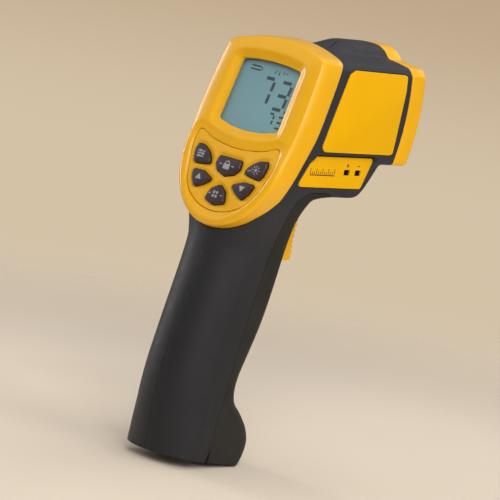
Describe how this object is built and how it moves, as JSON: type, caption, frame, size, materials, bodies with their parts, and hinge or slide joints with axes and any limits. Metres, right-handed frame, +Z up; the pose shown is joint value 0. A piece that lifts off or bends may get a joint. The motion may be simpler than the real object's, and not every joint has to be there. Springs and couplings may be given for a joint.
{
  "type": "infrared thermometer",
  "caption": "Pistol-grip infrared thermometer with a leaning display face, keypad, sprung trigger, lens and laser in the nose, side thermocouple socket and a hinged battery door.",
  "frame": {"origin": "bottom centre of the bounding box, under the grip's front", "axes": "+Z up, +Y towards the nose, the way the sensor looks, +X to the user's right"},
  "size_m": [0.063, 0.1216, 0.2034],
  "materials": {
    "casing_grey": "fine moulded texture, satin dark grey",
    "grip_grey": "soft-touch, slightly darker than the casing",
    "casing_yellow": "satin orange yellow",
    "label_yellow": "printed polycarbonate film",
    "key_rubber": "matte keys with pale printed marks",
    "rubber": "matte",
    "foam": "open foam",
    "clear_window": "clear, glossy",
    "lcd_grey": "grey green liquid-crystal cell",
    "white_plastic": "translucent white",
    "board_green": "solder-masked board",
    "black_plastic": "moulded black",
    "infrared_lens": "dark coated infrared optic",
    "steel": "bright",
    "brass": "turned",
    "battery_case": "plain dark blue jacket",
    "wire_red": "insulated wire",
    "wire_black": "insulated wire"
  },
  "bodies": {
    "casing": {"shell_left": "casing_grey", "shell_right": "casing_grey", "display_bezel": "casing_yellow", "keypad_plate": "casing_yellow", "nose_bezel": "casing_yellow", "side_label_left": "label_yellow", "side_label_right": "label_yellow", "range_label_left": "label_yellow", "range_label_right": "label_yellow", "keypad_mat": "rubber", "zebra_strip": "rubber", "lcd_window": "clear_window", "laser_window": "clear_window", "lcd_panel": "lcd_grey", "lcd_backlight": "white_plastic", "display_board": "board_green", "main_board": "board_green", "sensor_board": "board_green", "nose_panel": "black_plastic", "lens_barrel": "black_plastic", "lens_ring": "black_plastic", "laser_holder": "black_plastic", "microcontroller": "black_plastic", "sounder": "black_plastic", "thermocouple_socket": "black_plastic", "trigger_frame": "black_plastic", "trigger_switch": "black_plastic", "battery_snap": "black_plastic", "infrared_lens": "infrared_lens", "thermopile_sensor": "steel", "trigger_pin": "steel", "door_hinge_pin": "steel", "contact_negative": "steel", "screw_foot": "steel", "screw_grip": "steel", "screw_neck": "steel", "screw_nose": "steel", "screw_crown": "steel", "laser_module": "brass", "contact_positive": "brass", "battery": "battery_case", "lead_positive": "wire_red", "lead_negative": "wire_black"},
    "trigger_body": {"trigger": "casing_yellow", "trigger_spring": "steel"},
    "plunger_body": {"switch_plunger": "white_plastic"},
    "door_body": {"battery_door": "grip_grey", "battery_pad": "foam"},
    "key_set": {"button_set": "key_rubber"},
    "key_lock": {"button_lock": "key_rubber"},
    "key_laser": {"button_laser": "key_rubber"},
    "key_up": {"button_up": "key_rubber"},
    "key_down": {"button_down": "key_rubber"},
    "key_mode": {"button_mode": "key_rubber"}
  },
  "joints": [
    {"name": "trigger_pull", "type": "hinge", "parent": "casing", "child": "trigger_body", "pos_m": [0, -0.0104, 0.126], "axis": [-1, 0, 0], "range_deg": [0, 7]},
    {"name": "plunger_press", "type": "slide", "parent": "casing", "child": "plunger_body", "axis": [0, -1, 0], "range_m": [0, 0.0028]},
    {"name": "battery_door_open", "type": "hinge", "parent": "casing", "child": "door_body", "pos_m": [0, -0.0334, 0.0053], "axis": [-1, 0, 0], "range_deg": [0, 70]},
    {"name": "set_key_press", "type": "slide", "parent": "casing", "child": "key_set", "axis": [0, 0.9516, -0.3074], "range_m": [0, 0.0008]},
    {"name": "lock_key_press", "type": "slide", "parent": "casing", "child": "key_lock", "axis": [0, 0.9516, -0.3074], "range_m": [0, 0.0008]},
    {"name": "laser_key_press", "type": "slide", "parent": "casing", "child": "key_laser", "axis": [0, 0.9516, -0.3074], "range_m": [0, 0.0008]},
    {"name": "up_key_press", "type": "slide", "parent": "casing", "child": "key_up", "axis": [0, 0.9516, -0.3074], "range_m": [0, 0.0008]},
    {"name": "down_key_press", "type": "slide", "parent": "casing", "child": "key_down", "axis": [0, 0.9516, -0.3074], "range_m": [0, 0.0008]},
    {"name": "mode_key_press", "type": "slide", "parent": "casing", "child": "key_mode", "axis": [0, 0.9516, -0.3074], "range_m": [0, 0.0008]}
  ],
  "couplings": [
    {"joint": "plunger_press", "follows": "trigger_pull", "m_per_rad": 0.0216}
  ]
}
